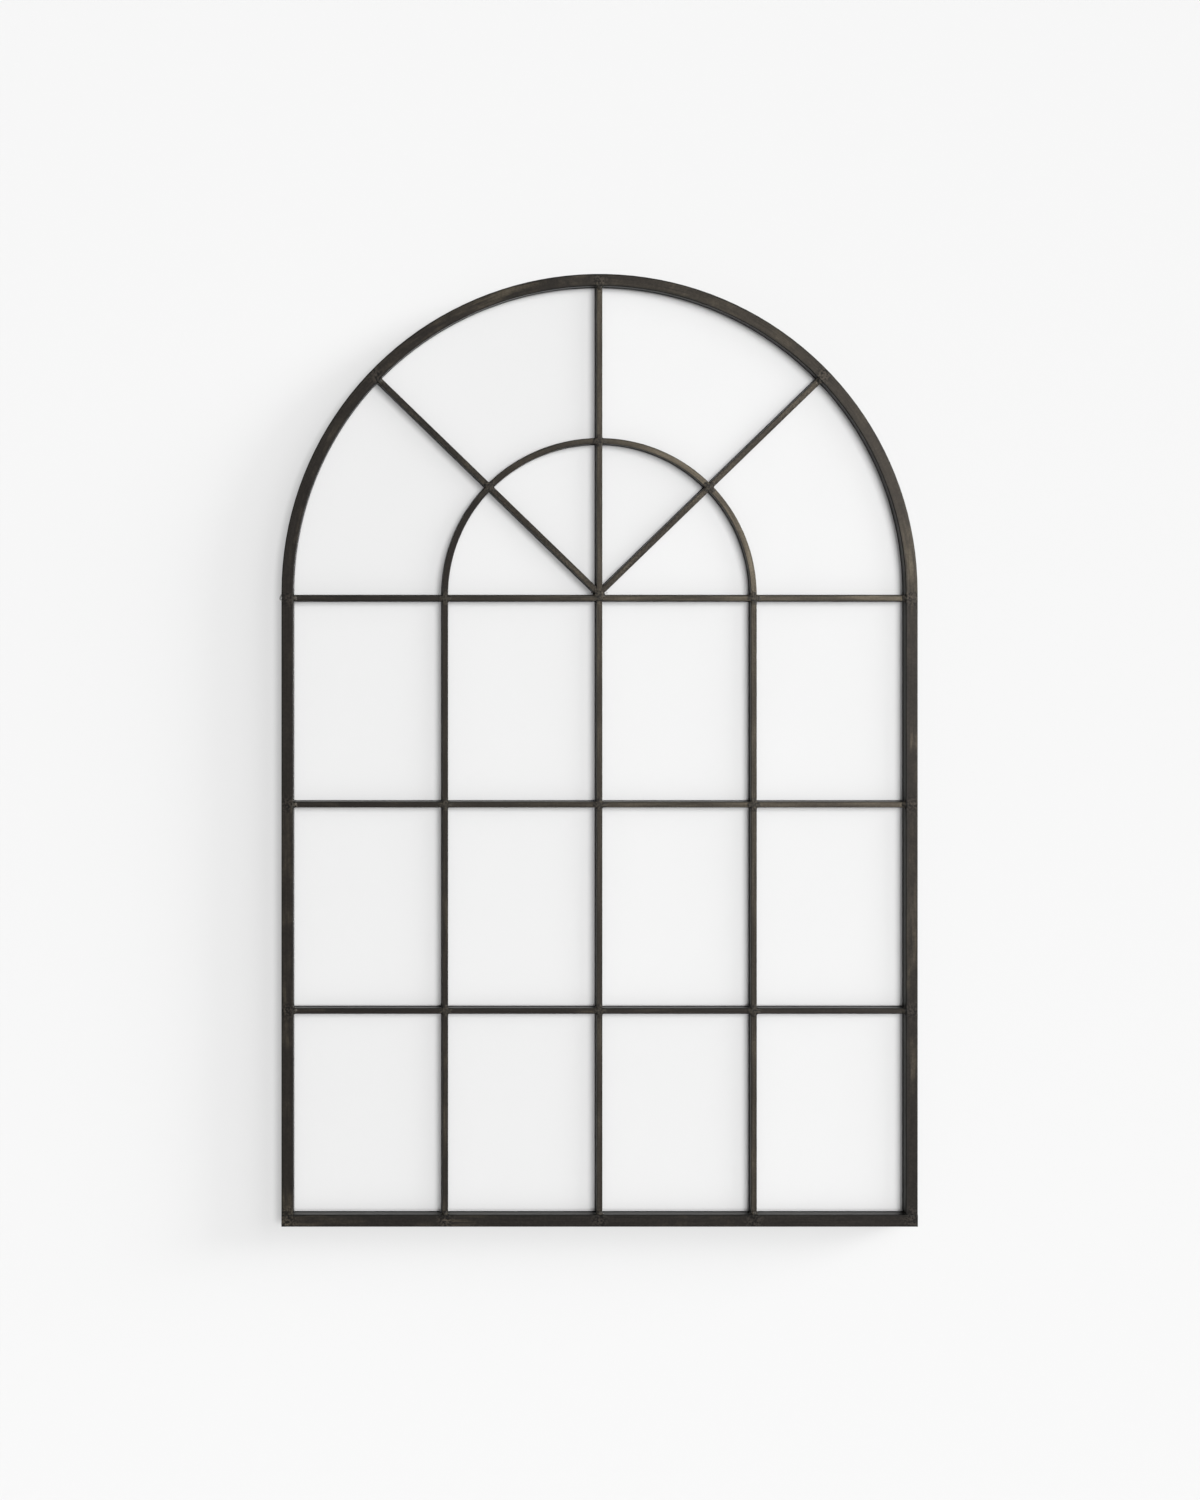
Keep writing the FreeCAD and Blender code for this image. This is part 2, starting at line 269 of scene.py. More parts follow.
def dress(finish, *names):
    """Gives CAD nodes a material through their objects' slots."""
    for name in names:
        for slot in nodes[name].material_slots:
            slot.link = "OBJECT"
            slot.material = finish


# ------------------------------------------------------------------------------------------------------
# Iron
# ------------------------------------------------------------------------------------------------------

IRON_DARK = (0.0195, 0.0164, 0.0138)
# Painted shade: the bars' faces darken to this colour towards their rounded edges.
IRON_EDGE_SHADE = (0.0145, 0.0146, 0.0130)
IRON_WARM = (0.060, 0.050, 0.036)
# Wear and painted sheen lighten the iron towards this colour.
IRON_WORN_AND_SHEEN = (0.130, 0.110, 0.080)
IRON_METALLIC = 0.75
SMOOTHEST_IRON, ROUGHEST_IRON = 0.30, 0.48
# How strongly the painted edge shade darkens each face.
EDGE_SHADE_STRENGTH = 0.75
IRON_RELIEF = 0.06 * MM

# The scales of the iron's patterns. Grain and smears are drawn out along the bar.
GRAIN_ALONG, GRAIN_ACROSS = 14.0, 1500.0
SMEAR_ALONG, SMEAR_ACROSS = 18.0, 160.0
CLOUD_SCALE = 8.0
MOTTLE_SCALE = 420.0

# A weld's mottling spreads this far past the edges of the bar that it joins.
WELD_REACH = 8 * MM
WELD_ROUGHENING = 0.08

# The iron is painted lighter to the right, partly wear and partly painted sheen, from nothing at the start
# to each bar's full share at the end.
SHEEN_START = -0.34
ARCH_SHEEN_START = -0.10
SHEEN_END = 0.12
WEAR_AND_PAINTED_SHEEN = {
    "left_mullion": 0.26, "centre_mullion": 0.30, "right_mullion": 0.30,
    "cross_bar_1": 0.26, "cross_bar_2": 0.34, "cross_bar_3": 0.05,
    "left_spoke": 0.20, "right_spoke": 0.18, "inner_arch": 0.58, "arch_tube": 0.09,
}

# Between these heights the wear and painted sheen grow from this part of that share to the whole of it.
SHEEN_FOOT, SHEEN_WHOLE = -0.5, -0.1
FOOT_PART = 0.55

BAR_GRIT = 0.15
SPOKE_GRIT = 0.42

WELD_DARK = (0.009, 0.0082, 0.0072)
WELD_LIGHT = (0.054, 0.046, 0.035)
WELD_METALLIC = 0.7
WELD_PIT_SCALE = 1300.0
WELD_RELIEF = 0.12 * MM


def wear_and_painted_sheen(s, node_name, x, z, smear):
    """How far a bar is painted lighter, partly as wear and partly as painted sheen: more to the right, less
    near the foot, and in smears.
    """
    sheen_share = WEAR_AND_PAINTED_SHEEN.get(node_name, 0.0)
    start = ARCH_SHEEN_START if "arch" in node_name else SHEEN_START
    reach = s.times(s.fade(x, start, SHEEN_END), s.fade(z, SHEEN_FOOT, SHEEN_WHOLE, FOOT_PART, 1.0))
    return s.times(reach, s.fade(smear, 0.25, 0.7, 0.6 * sheen_share, 1.4 * sheen_share))


def iron(node_name, lay, half_width, welds):
    """Blackened iron: grain along the bar, warm patches, wear and painted sheen, painted shade towards the
    edges, and mottled welds.

    lay(shader, place) gives two sockets: the run along the bar, and the distance from its centre line.
    """
    made, s = material(node_name + "_iron")
    place = s.place()
    run, offset = lay(s, place)
    x, depth, z = s.split(place)
    grain = s.drawn_noise(run, offset, depth, GRAIN_ALONG, GRAIN_ACROSS, 4.0, 0.65)
    smear = s.drawn_noise(run, offset, depth, SMEAR_ALONG, SMEAR_ACROSS, 3.0, 0.6)
    clouds = s.fade(s.noise(place, CLOUD_SCALE, 5.0, 0.62, 0.6), 0.47, 0.66)
    mottle = s.noise(place, MOTTLE_SCALE, 3.0, 0.6)
    near_weld = s.spikes(run, welds, WELD_REACH + half_width)
    edge_shade = s.fade(s.math("DIVIDE", s.math("ABSOLUTE", offset), half_width), 0.6, 1.0)
    grit = SPOKE_GRIT if "spoke" in node_name else BAR_GRIT

    colour = s.mix(s.times(clouds, s.fade(smear, 0.35, 0.7)), IRON_DARK, IRON_WARM)
    # Wear and painted sheen: lighter to the right and higher up.
    colour = s.mix(wear_and_painted_sheen(s, node_name, x, z, smear), colour, IRON_WORN_AND_SHEEN)
    # Painted shade: the face darkens towards its edges.
    colour = s.mix(s.times(edge_shade, EDGE_SHADE_STRENGTH), colour, IRON_EDGE_SHADE)
    streaks = s.fade(grain, 0.3, 0.75, 0.72, 1.35)
    specks = s.fade(mottle, 0.38, 0.62, 1 - grit, 1 + grit)
    colour = s.shade(colour, s.times(streaks, specks))
    weld_patches = s.fade(mottle, 0.42, 0.60, 0.30, 1.75)
    colour = s.mix(near_weld, colour, s.shade(colour, weld_patches))

    roughness = s.math("ADD", s.fade(grain, 0.3, 0.75, SMOOTHEST_IRON, ROUGHEST_IRON),
                       s.times(near_weld, WELD_ROUGHENING))
    height = s.math("ADD", s.times(grain, 0.5), s.times(s.times(near_weld, mottle), 1.6))
    s.surface(Base_Color=colour, Metallic=IRON_METALLIC, Roughness=roughness,
              Normal=s.bump(height, IRON_RELIEF, 0.8))
    return made


def weld_iron():
    """Ground weld metal: mottled dark brown, rougher than the bars."""
    made, s = material("weld_iron")
    place = s.place()
    mottle = s.noise(place, MOTTLE_SCALE, 3.0, 0.6)
    pits = s.noise(place, WELD_PIT_SCALE, 3.0)
    colour = s.mix(s.fade(mottle, 0.40, 0.62), WELD_DARK, WELD_LIGHT)
    height = s.math("ADD", s.times(mottle, 1.5), pits)
    s.surface(Base_Color=colour, Metallic=WELD_METALLIC, Roughness=s.fade(mottle, 0.3, 0.7, 0.34, 0.52),
              Normal=s.bump(height, WELD_RELIEF, 0.9))
    return made


def straight_lay(direction, origin):
    """The lay of a straight bar through the origin given; the direction is an angle in the XZ plane."""
    along = tuple(in_plane(direction))
    across = tuple(in_plane(direction + math.pi / 2))

    def lay(s, place):
        local = s.vector_math("SUBTRACT", place, tuple(origin))
        return s.vector_math("DOT_PRODUCT", local, along), s.vector_math("DOT_PRODUCT", local, across)

    return lay


def arched_lay(radius, centre_height=0.0):
    """The lay of an arched bar round its centre; its run is arc length from the right springing."""

    def lay(s, place):
        local = s.vector_math("SUBTRACT", place, (0.0, 0.0, centre_height))
        x, _, z = s.split(local)
        run = s.times(s.math("ARCTAN2", z, x), radius)
        reach = s.vector_math("LENGTH", s.stretch(local, (1.0, 0.0, 1.0)))
        return run, s.math("SUBTRACT", reach, radius)

    return lay


def upright_lay(line):
    """The lay of an upright bar on that line."""
    return straight_lay(UP, Vector((line, 0.0, 0.0)))


def level_lay(height):
    """The lay of a level bar at that height."""
    return straight_lay(RIGHT, Vector((0.0, 0.0, height)))


def dress_frame():
    """One iron for each bar and tube: its lay, half its width, and its welds' places along its run."""
    crossings = [inner_crossing(angle) for angle in FAN_ANGLES]
    column_welds = [rail_top, *cross_heights, crossings[1].z, inner_edge]
    row_welds = [-inner_edge, *column_lines, inner_edge]
    spoke_end = fan_point(SPOKE_ANGLE, inner_edge)
    spoke_welds = [0.0, (crossings[0] - HUB).length, (spoke_end - HUB).length]
    inner_turns = [math.atan2(point.z - inner_arch_centre, point.x) for point in crossings]
    inner_welds = [turn * inner_arch_radius for turn in (RIGHT, *inner_turns, LEFT)]
    outer_welds = [angle * tube_line for angle in FAN_ANGLES]
    rail_welds = [-tube_line, *column_lines, tube_line]

    irons = {
        "right_spoke": (straight_lay(SPOKE_ANGLE, HUB), half_bar, spoke_welds),
        "left_spoke": (straight_lay(math.pi - SPOKE_ANGLE, HUB), half_bar, spoke_welds),
        "inner_arch": (arched_lay(inner_arch_radius, inner_arch_centre), half_bar, inner_welds),
        "arch_tube": (arched_lay(tube_line), half_tube, outer_welds),
        "bottom_rail": (level_lay(rail_line), half_tube, rail_welds),
    }
    for name, line in zip(("left_mullion", "centre_mullion", "right_mullion"), column_lines):
        irons[name] = (upright_lay(line), half_bar, column_welds)
    for row, height in enumerate(cross_heights, 1):
        irons[f"cross_bar_{row}"] = (level_lay(height), half_bar, row_welds)
    for name, line in (("left_stile", -tube_line), ("right_stile", tube_line)):
        irons[name] = (upright_lay(line), half_tube, [rail_top, *cross_heights])
    for name, (lay, half_width, welds) in irons.items():
        finish = iron(name, lay, half_width, welds)
        dress(finish, name)
        if name == "bottom_rail":
            dress(finish, "rail_end_caps")


# ------------------------------------------------------------------------------------------------------
# Mirror glass and the parts at the back
# ------------------------------------------------------------------------------------------------------

# How light the silver of each pane is, from left to right: painted light and shade, mostly lighter to the
# right and darker lower down.
PANE_PAINTED_LIGHT = {
    "pane_row_1": (0.800, 0.815, 0.839, 0.847),
    "pane_row_2": (0.791, 0.805, 0.828, 0.835),
    "pane_row_3": (0.775, 0.786, 0.804, 0.823),
    "fan_pane_outer": (0.796, 0.816, 0.860, 0.857),
    "fan_pane_inner": (0.829, 0.825, 0.831, 0.856),
}

BOARD_DARK = (0.27, 0.175, 0.10)
BOARD_LIGHT = (0.49, 0.355, 0.235)
BOARD_CLOUD = (0.27, 0.185, 0.115)
BOARD_SANDED = (0.60, 0.47, 0.34)
BOARD_SPECK = (0.13, 0.075, 0.04)
STRAW_STAIN = (0.55, 0.50, 0.38)


def mirror_glass(name, painted_tone):
    """Silvered glass: light haze in the silver takes the bars' shadows, and the clear face stays sharp."""
    made, s = material(name)
    wiped = s.noise(s.stretch(s.place(), (9.0, 9.0, 3.0)), 1.0, 3.0, 0.5, 0.4)
    # The tone paints in this pane's own light and shade.
    colour = s.shade(grey(painted_tone), s.fade(wiped, 0.2, 0.8, 0.992, 1.0))
    s.surface(Base_Color=colour, Metallic=0.15, Roughness=s.fade(wiped, 0.2, 0.8, 0.10, 0.14),
              Coat_Weight=1.0, Coat_Roughness=0.03)
    return made


def fibreboard():
    """Raw board: packed fibres, cloudy patches, sanding streaks and darker specks."""
    made, s = material("raw_fibreboard")
    place = s.place()
    fibres = s.noise(s.stretch(place, (1.0, 1.0, 2.2)), 900.0, 5.0, 0.7)
    clouds = s.noise(place, 3.2, 6.0, 0.62, 0.8)
    specks = s.noise(place, 260.0, 2.0, 0.5)
    sanded = s.noise(s.stretch(place, (1.0, 1.0, 0.03)), 190.0, 3.0, 0.6)
    colour = s.mix(s.fade(fibres, 0.3, 0.72), BOARD_DARK, BOARD_LIGHT)
    colour = s.mix(s.fade(clouds, 0.38, 0.66, 0.0, 0.62), colour, BOARD_CLOUD)
    colour = s.mix(s.fade(sanded, 0.45, 0.7, 0.0, 0.22), colour, BOARD_SANDED)
    colour = s.mix(s.fade(specks, 0.65, 0.75, 0.0, 0.6), colour, BOARD_SPECK)
    s.surface(Base_Color=colour, Roughness=s.fade(clouds, 0.3, 0.7, 0.72, 0.9),
              Normal=s.bump(fibres, 0.15 * MM, 0.6))
    return made


def plated(name, tint, scale, smoothest=0.26, roughest=0.42):
    """Zinc plate: grey, with fine crystals and a faint straw stain."""
    made, s = material(name)
    place = s.place()
    crystal = s.split(s.cells(place, scale))[0]
    stain = s.noise(place, 60.0, 3.0)
    brighter = tuple(min(1.0, 1.25 * part) for part in tint)
    colour = s.mix(crystal, tint, brighter)
    colour = s.mix(s.fade(stain, 0.45, 0.75, 0.0, 0.35), colour, STRAW_STAIN)
    s.surface(Base_Color=colour, Metallic=1.0, Roughness=s.fade(crystal, 0.0, 1.0, smoothest, roughest),
              Normal=s.bump(stain, 0.05 * MM, 0.4))
    return made


def moulded(name, colour, lighter, grain_scale, roughness):
    """Rubber or foam, with a fine cell grain."""
    made, s = material(name)
    grain = s.noise(s.place(), grain_scale, 4.0, 0.6)
    s.surface(Base_Color=s.mix(s.fade(grain, 0.35, 0.7), colour, lighter), Roughness=roughness,
              Normal=s.bump(grain, 0.1 * MM, 0.5))
    return made


def dress_panes():
    """Each opening holds a pane of its own, so its silver has its own tone of painted light and shade."""
    for group, painted_tones in PANE_PAINTED_LIGHT.items():
        for column, painted_tone in enumerate(painted_tones, 1):
            names = [name for name in nodes if name.startswith(group) and name.endswith(f"_{column}")]
            dress(mirror_glass(f"{group}_{column}_silver", painted_tone), *names)


def dress_back():
    """Board, pads, clips, hangers, screws and bumpers."""
    sheet_zinc = plated("bright_zinc", (0.50, 0.51, 0.52), 900.0)
    ring_zinc = plated("ring_zinc", (0.62, 0.62, 0.61), 1600.0, 0.05, 0.10)
    screw_zinc = plated("screw_zinc", (0.46, 0.46, 0.46), 2400.0)
    foam = moulded("white_foam", (0.68, 0.68, 0.66), (0.84, 0.84, 0.82), 1800.0, 0.9)
    rubber = moulded("black_rubber", grey(0.016), grey(0.04), 1200.0, 0.62)
    dress(sheet_zinc, "retaining_clips", "left_hanger_strap", "right_hanger_strap")
    dress(ring_zinc, "left_hanger_ring", "right_hanger_ring")
    dress(screw_zinc, "clip_screws", "hanger_screws")
    dress(fibreboard(), "backing_board")
    dress(foam, "adhesive_pads")
    dress(rubber, "wall_bumpers")


# ------------------------------------------------------------------------------------------------------
# Welds
# ------------------------------------------------------------------------------------------------------

# Beads in the corners between bars. The profile gives each layer's share of the leg and of the depth.
FILLET_LEG = 2.3 * MM
FAN_FILLET_LEG = 1.8 * MM
FILLET_DEPTH = 7.0 * MM
FILLET_RECESS = 0.25 * MM
FILLET_OVERLAP = 0.5 * MM
FILLET_PROFILE = ((0.35, 0.0), (0.85, 0.06), (1.0, 0.2), (0.9, 0.45), (0.65, 0.75), (0.3, 1.0))
FILLET_STEPS = 6
FILLET_HOLLOW = 0.12
FILLET_UNEVENNESS = 0.25
FILLET_GRAIN = 900.0
FILLET_LAYER_GRAIN = 3.0
WIDEST_FILLET = math.radians(150)

# Ground caps over the joints.
CAP_REACH = 9.5 * MM
HUB_CAP_REACH = 7.0 * MM
END_CAP_REACH = 5.0 * MM
CAP_HEIGHT = 0.22 * MM
END_CAP_HEIGHT = 0.9 * MM
CAP_SINK = 0.3 * MM
CAP_UNEVENNESS = 0.07 * MM
CAP_GRAIN = 600.0
OUTLINE_UNEVENNESS = 0.12
OUTLINE_GRAIN = 2.0
CAP_SEED_SCALE = 700.0
CAP_TURNS = 64
CAP_RINGS = 7


def mesh_piece(name, shape, finish):
    """A smooth-shaded piece of iron that rides on the frame."""
    mesh = bpy.data.meshes.new(name)
    bmesh.ops.recalc_face_normals(shape, faces=shape.faces)
    shape.to_mesh(mesh)
    shape.free()
    for face in mesh.polygons:
        face.use_smooth = True
    piece = bpy.data.objects.new(name, mesh)
    bpy.context.scene.collection.objects.link(piece)
    mesh.materials.append(finish)
    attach(piece, "frame")


def corner_between(centre, first, second):
    """Where the near edges of two arms meet.

    An arm is (angle, half width), and the second one is further anticlockwise.
    """
    (angle_a, half_a), (angle_b, half_b) = first, second
    normal_a = in_plane(angle_a + math.pi / 2)
    normal_b = in_plane(angle_b - math.pi / 2)
    turn = normal_a.x * normal_b.z - normal_a.z * normal_b.x
    x = (half_a * normal_b.z - half_b * normal_a.z) / turn
    z = (half_b * normal_a.x - half_a * normal_b.x) / turn
    return centre + Vector((x, 0.0, z))


def add_fillet(shape, centre, first, second, size=FILLET_LEG):
    """A concave bead in the corner between two arms, from their fronts back towards the glass."""
    corner = corner_between(centre, first, second)
    along_a, along_b = in_plane(first[0]), in_plane(second[0])
    rings = []
    for swell, fraction in FILLET_PROFILE:
        layer = Vector((0.0, fraction * FILLET_LAYER_GRAIN, 0.0))
        uneven = 1 + FILLET_UNEVENNESS * noise.noise(corner * FILLET_GRAIN + layer)
        leg = size * swell * uneven
        start, end = corner + along_a * leg, corner + along_b * leg
        pull = corner + (along_a + along_b) * leg * FILLET_HOLLOW
        outline = [corner - (along_a + along_b) * FILLET_OVERLAP]
        for step in range(FILLET_STEPS + 1):
            t = step / FILLET_STEPS
            outline.append(start * (1 - t) ** 2 + pull * 2 * t * (1 - t) + end * t ** 2)
        depth = Vector((0.0, bar_front + FILLET_RECESS + FILLET_DEPTH * fraction, 0.0))
        rings.append([shape.verts.new(point + depth) for point in outline])
    for near, far in zip(rings, rings[1:]):
        for index in range(len(near)):
            after = (index + 1) % len(near)
            shape.faces.new((near[index], near[after], far[after], far[index]))
    shape.faces.new(rings[0])
    shape.faces.new(rings[-1])


def cap_radius(angle, arms, reach):
    """How far a ground weld spreads in one direction: along the arms, and no wider than their flat faces."""
    spread = min(half for _, half in arms) - BAR_EDGE_RADIUS
    for arm, half in arms:
        turned = angle - arm
        if math.cos(turned) > 0:
            limit = reach / math.cos(turned)
            wide = (half - BAR_EDGE_RADIUS) / max(abs(math.sin(turned)), 1e-6)
            spread = max(spread, min(limit, wide))
    return spread


def add_cap(shape, centre, arms, reach=CAP_REACH, height=CAP_HEIGHT):
    """A ground weld over a joint: a low uneven mound that feathers out along each arm."""
    seed = centre * CAP_SEED_SCALE
    levels = []
    for ring in range(1, CAP_RINGS + 1):
        row = []
        for turn in range(CAP_TURNS):
            angle = 2 * math.pi * turn / CAP_TURNS
            uneven = 1 + OUTLINE_UNEVENNESS * noise.noise(seed + in_plane(angle) * OUTLINE_GRAIN)
            radius = cap_radius(angle, arms, reach * uneven)
            point = centre + in_plane(angle) * radius * ring / CAP_RINGS
            away = (point - centre).length / reach
            waviness = CAP_UNEVENNESS * noise.noise(seed + (point - centre) * CAP_GRAIN)
            lift = height * (1 - away * away) + waviness
            if ring == CAP_RINGS:
                lift = -CAP_SINK
            row.append(shape.verts.new((point.x, bar_front - lift, point.z)))
        levels.append(row)
    top = shape.verts.new((centre.x, bar_front - height, centre.z))
    under = shape.verts.new((centre.x, bar_front + CAP_SINK, centre.z))
    for turn in range(CAP_TURNS):
        after = (turn + 1) % CAP_TURNS
        shape.faces.new((top, levels[0][turn], levels[0][after]))
        for near, far in zip(levels, levels[1:]):
            shape.faces.new((near[turn], far[turn], far[after], near[after]))
        shape.faces.new((under, levels[-1][after], levels[-1][turn]))


def weld_joint(shape, centre, arms, reach=CAP_REACH, leg=FILLET_LEG):
    """The cap and the corner beads of one joint; arms come in anticlockwise order."""
    add_cap(shape, centre, arms, reach)
    for first, second in zip(arms, arms[1:] + arms[:1]):
        gap = (second[0] - first[0]) % (2 * math.pi)
        if gap < WIDEST_FILLET:
            add_fillet(shape, centre, first, second, leg)


def weld_end(shape, point, inward):
    """The weld where a bar's end meets the frame tube: a bead in each corner, a ramp on the bar's face."""
    bar = (inward, half_bar)
    add_cap(shape, point, [bar], END_CAP_REACH, END_CAP_HEIGHT)
    add_fillet(shape, point, bar, (inward + math.pi / 2, 0.0))
    add_fillet(shape, point, (inward - math.pi / 2, 0.0), bar)


def crossing_welds():
    """Where the mullions cross the cross bars, but for the hub."""
    shape = bmesh.new()
    arms = [(angle, half_bar) for angle in (RIGHT, UP, LEFT, DOWN)]
    for height in cross_heights:
        for line in column_lines:
            if height != cross_heights[0] or line:
                weld_joint(shape, Vector((line, 0.0, height)), arms)
    return shape


def hub_weld():
    """Where the spokes, the centre mullion and the first cross bar meet."""
    shape = bmesh.new()
    centre = Vector((0.0, 0.0, (HUB.z + cross_heights[0]) / 2))
    arms = [(angle, half_bar) for angle in (RIGHT, *FAN_ANGLES, LEFT, DOWN)]
    weld_joint(shape, centre, arms, HUB_CAP_REACH, FAN_FILLET_LEG)
    return shape


def inner_arch_welds():
    """Where the spokes and the centre mullion cross the inner arch."""
    shape = bmesh.new()
    for angle in FAN_ANGLES:
        arms = [(angle + quarter * math.pi / 2, half_bar) for quarter in range(4)]
        weld_joint(shape, inner_crossing(angle), arms, leg=FAN_FILLET_LEG)
    return shape


def bar_end_welds():
    """Where the bars end on the stiles, the rail and the arched head."""
    shape = bmesh.new()
    for height in cross_heights:
        weld_end(shape, Vector((inner_edge, 0.0, height)), LEFT)
        weld_end(shape, Vector((-inner_edge, 0.0, height)), RIGHT)
    for line in column_lines:
        weld_end(shape, Vector((line, 0.0, rail_top)), UP)
    for angle in FAN_ANGLES:
        weld_end(shape, fan_point(angle, inner_edge), angle + math.pi)
    return shape


def make_welds():
    """All the welds, in four pieces."""
    finish = weld_iron()
    mesh_piece("crossing_welds", crossing_welds(), finish)
    mesh_piece("hub_weld", hub_weld(), finish)
    mesh_piece("inner_arch_welds", inner_arch_welds(), finish)
    mesh_piece("bar_end_welds", bar_end_welds(), finish)


# ------------------------------------------------------------------------------------------------------
# Wall, floor, light and camera
# ------------------------------------------------------------------------------------------------------

# Each sheet is solid out to its clear reach and fades away at its whole reach.
WALL_CLEAR, WALL_REACH = 1.25, 1.9
WALL_GAP = 1.0 * MM
WALL_ALBEDO = 0.2
WALL_GLOW = 0.436
SHEET_EDGES = 128
FLOOR_HEIGHT = -1.75
FLOOR_CLEAR, FLOOR_REACH = 1.8, 2.7
FLOOR_ALBEDO = 0.86

# How bright the studio is in front of the mirror, behind it, from left to right, and where it is seen.
FRONT_LEVEL = 0.88
BACK_LEVEL = 0.80
LEFT_LEVEL, RIGHT_LEVEL = 0.12, 0.24
SEEN_LEVEL = 0.86

# Where those levels give way to each other: by the cosine from straight ahead, and from left to right.
SCREEN_FADE = (0.84, 0.93)
BACK_FADE = (0.1, -0.3)
SIDE_FADE = (-0.8, 0.8)

# Pixels of the photograph: the one straight ahead of the camera, and the one at the model's origin.
PHOTO_WIDTH, PHOTO_HEIGHT = 1200, 1500
CAMERA_FOOT = (335, 600)
ORIGIN_PIXEL = (599.65, 592.0)
METRES_PER_PIXEL = 1.2773 * MM
CAMERA_DISTANCE = 2.661
LENS = 50.0


class Softbox(NamedTuple):
    """A far soft light: where it comes from, its strength, its spread in degrees, and what it lights."""

    source: tuple
    strength: float
    spread: float
    diffuse: bool = True
    glossy: bool = True
    wall_alone: bool = False


# All come from the right. The first three light all but the wall, and the rest light the wall alone.
SOFTBOXES = {
    "key": Softbox((0.44, -0.84, 0.27), 2.3, 32, glossy=False),
    "sweep": Softbox((0.90, -0.30, 0.24), 1.2, 34),
    "sheen": Softbox((0.56, -0.83, 0.06), 2.2, 12, diffuse=False),
    "wall_wash": Softbox((0.24, -0.97, 0.10), 3.8, 20, wall_alone=True),
    "wall_sweep": Softbox((0.847, -0.50, 0.42), 3.32, 50, wall_alone=True),
    "wall_graze": Softbox((0.963, -0.174, 0.35), 8.45, 20, wall_alone=True),
}


def face_towards(thing, direction):
    """Turns a thing's own Z axis to that direction."""
    thing.rotation_mode = "QUATERNION"
    thing.rotation_quaternion = Vector(direction).to_track_quat("Z", "Y")


def disc(name, radius, centre, facing):
    """A round sheet with its face towards the direction given."""
    shape = bmesh.new()
    bmesh.ops.create_circle(shape, cap_ends=True, radius=radius, segments=SHEET_EDGES)
    mesh = bpy.data.meshes.new(name)
    shape.to_mesh(mesh)
    shape.free()
    sheet = bpy.data.objects.new(name, mesh)
    bpy.context.scene.collection.objects.link(sheet)
    face_towards(sheet, facing)
    sheet.location = centre
    return sheet


def backdrop(name, albedo, glow, clear, reach, one_sided):
    """Matt paint that fades out towards the sheet's edge, and from behind where the sheet is one-sided.

    The glow is light of its own, which keeps the shadows on it faint.
    """
    made, s = material(name)
    place = s.place()
    seen = s.fade(s.vector_math("LENGTH", place), clear, reach, 1.0, 0.0)
    if one_sided:
        behind = s.node("NewGeometry").outputs["Backfacing"]
        seen = s.times(seen, s.math("SUBTRACT", 1.0, behind))
    stipple = s.noise(place, 240.0, 4.0, 0.6)
    paint = s.node("BsdfDiffuse")
    s.feed(paint.inputs["Color"], (*grey(albedo), 1.0))
    s.feed(paint.inputs["Normal"], s.bump(stipple, 0.1 * MM, 0.05))
    lamp = s.node("Emission")
    s.feed(lamp.inputs["Strength"], glow)
    lit = s.node("AddShader")
    s.link(paint.outputs[0], lit.inputs[0])
    s.link(lamp.outputs[0], lit.inputs[1])
    blend = s.node("MixShader")
    s.feed(blend.inputs[0], seen)
    s.link(s.node("BsdfTransparent").outputs[0], blend.inputs[1])
    s.link(lit.outputs[0], blend.inputs[2])
    s.link(blend.outputs[0], s.node("OutputMaterial").inputs[0])
    return made


def make_room():
    """The wall behind the mirror and the floor below it; gives back the wall."""
    wall_centre = (0.0, WALL_GAP, (cad_low.z + cad_high.z) / 2)
    wall = disc("wall", WALL_REACH, wall_centre, (0, -1, 0))
    wall.data.materials.append(
        backdrop("wall_paint", WALL_ALBEDO, WALL_GLOW, WALL_CLEAR, WALL_REACH, one_sided=True))
    for way in ("visible_diffuse", "visible_glossy", "visible_shadow"):
        setattr(wall, way, False)
    floor = disc("floor", FLOOR_REACH, (0.0, 0.0, FLOOR_HEIGHT), (0, 0, 1))
    floor.data.materials.append(
        backdrop("floor_paint", FLOOR_ALBEDO, 0.0, FLOOR_CLEAR, FLOOR_REACH, one_sided=False))
    return wall


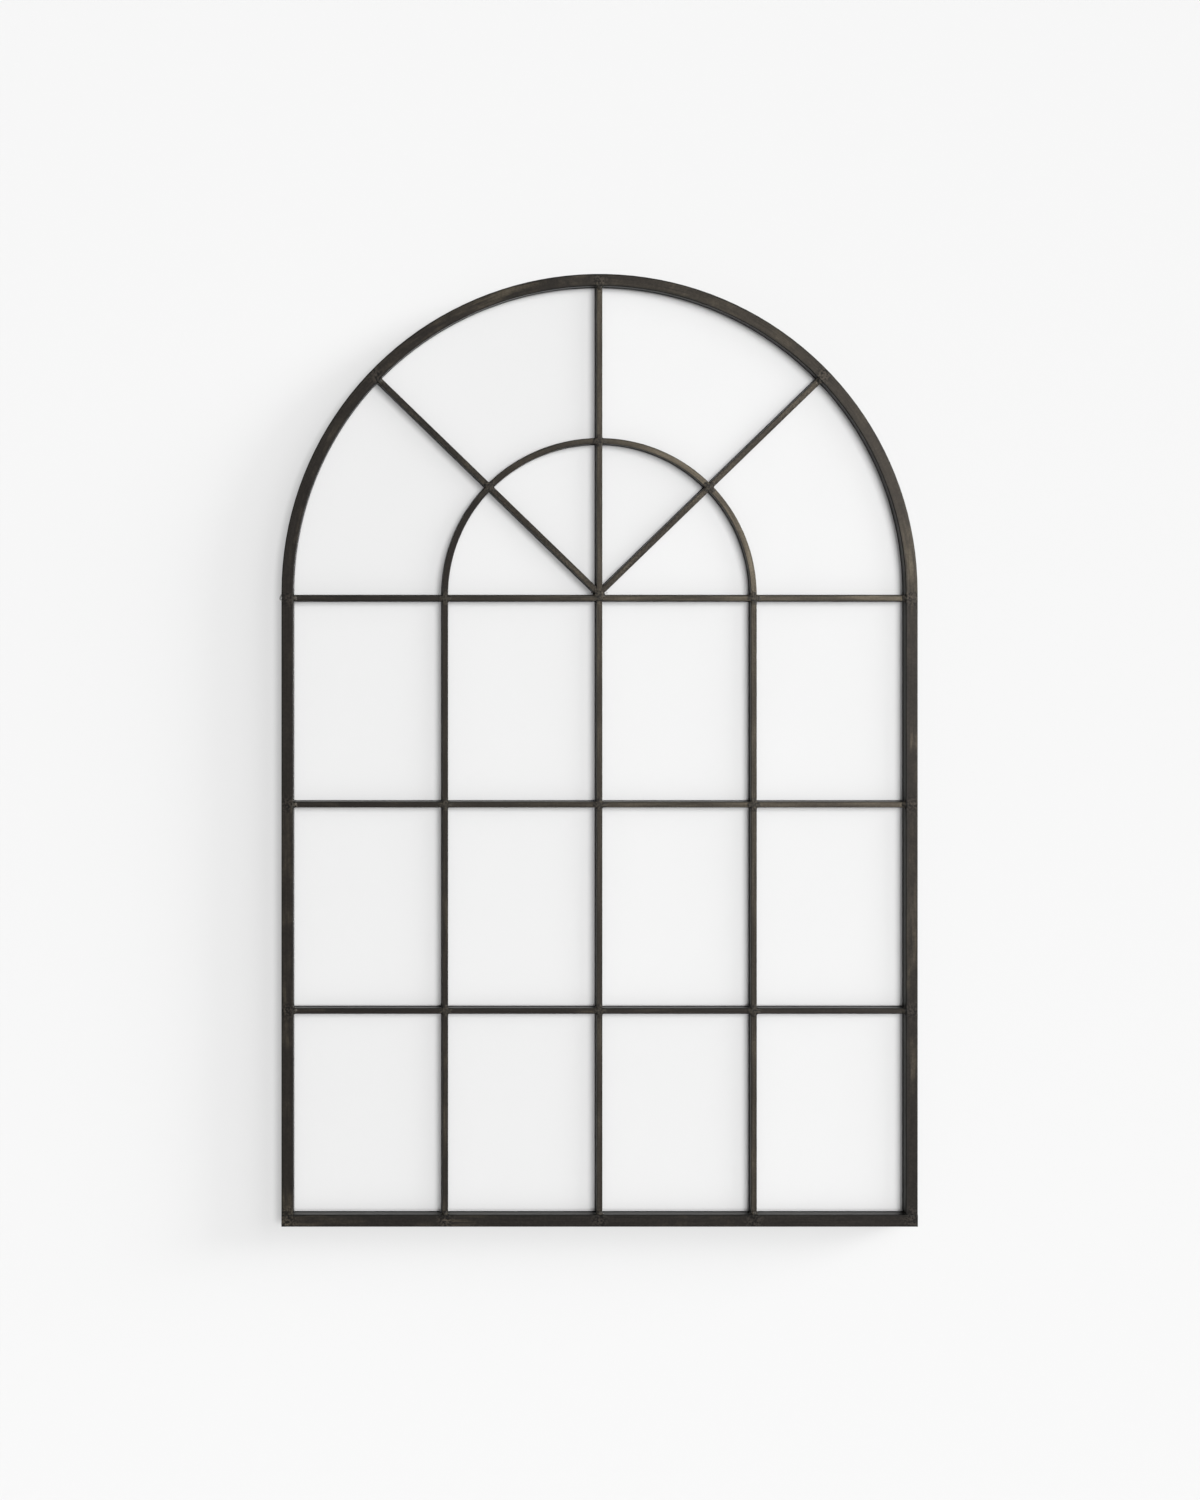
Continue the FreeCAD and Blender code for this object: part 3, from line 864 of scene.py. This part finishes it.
def make_world():
    """A studio with a bright screen ahead of the mirror and dim sides; seen directly it is evenly pale."""
    world = bpy.data.worlds.new("studio")
    bpy.context.scene.world = world
    s = Shader(world)
    towards = s.node("TexCoord").outputs["Generated"]
    ahead = s.vector_math("DOT_PRODUCT", towards, (0.0, -1.0, 0.0))
    rightwards = s.vector_math("DOT_PRODUCT", towards, (1.0, 0.0, 0.0))
    side = s.fade(rightwards, *SIDE_FADE, LEFT_LEVEL, RIGHT_LEVEL)
    colour = s.mix(s.fade(ahead, *SCREEN_FADE), s.vector(side, side, side), grey(FRONT_LEVEL))
    colour = s.mix(s.fade(ahead, *BACK_FADE), colour, grey(BACK_LEVEL))
    colour = s.mix(s.node("LightPath").outputs["Is Camera Ray"], colour, grey(SEEN_LEVEL))
    glow = s.node("Background")
    s.feed(glow.inputs["Color"], colour)
    s.link(glow.outputs[0], s.node("OutputWorld").inputs[0])


def make_light(name, softbox, wall):
    """One softbox, which lights the wall alone or all but the wall."""
    light = bpy.data.objects.new(name, bpy.data.lights.new(name, "SUN"))
    light.data.energy = softbox.strength
    light.data.angle = math.radians(softbox.spread)
    face_towards(light, softbox.source)
    light.visible_diffuse = softbox.diffuse
    light.visible_glossy = softbox.glossy
    bpy.context.scene.collection.objects.link(light)
    receivers = bpy.data.collections.new(name + "_receivers")
    receivers.objects.link(wall)
    linking = receivers.collection_objects[0].light_linking
    linking.link_state = "INCLUDE" if softbox.wall_alone else "EXCLUDE"
    light.light_linking.receiver_collection = receivers


def make_camera():
    """Square to the wall, level with the springing line and left of the centre, as the side faces show."""
    data = bpy.data.cameras.new("camera")
    data.lens = LENS
    camera = bpy.data.objects.new("camera", data)
    foot_x, foot_y = CAMERA_FOOT
    origin_x, origin_y = ORIGIN_PIXEL
    camera.location = ((foot_x - origin_x) * METRES_PER_PIXEL, tube_front - CAMERA_DISTANCE,
                       (origin_y - foot_y) * METRES_PER_PIXEL)
    camera.rotation_euler = (math.pi / 2, 0.0, 0.0)
    data.shift_x = (PHOTO_WIDTH / 2 - foot_x) / PHOTO_HEIGHT
    data.shift_y = (foot_y - PHOTO_HEIGHT / 2) / PHOTO_HEIGHT
    bpy.context.scene.collection.objects.link(camera)
    bpy.context.scene.camera = camera


make_camera()
make_world()
wall = make_room()
for name, softbox in SOFTBOXES.items():
    make_light(name, softbox, wall)
dress_frame()
dress_panes()
dress_back()
make_welds()
bpy.context.scene.view_settings.view_transform = "Standard"
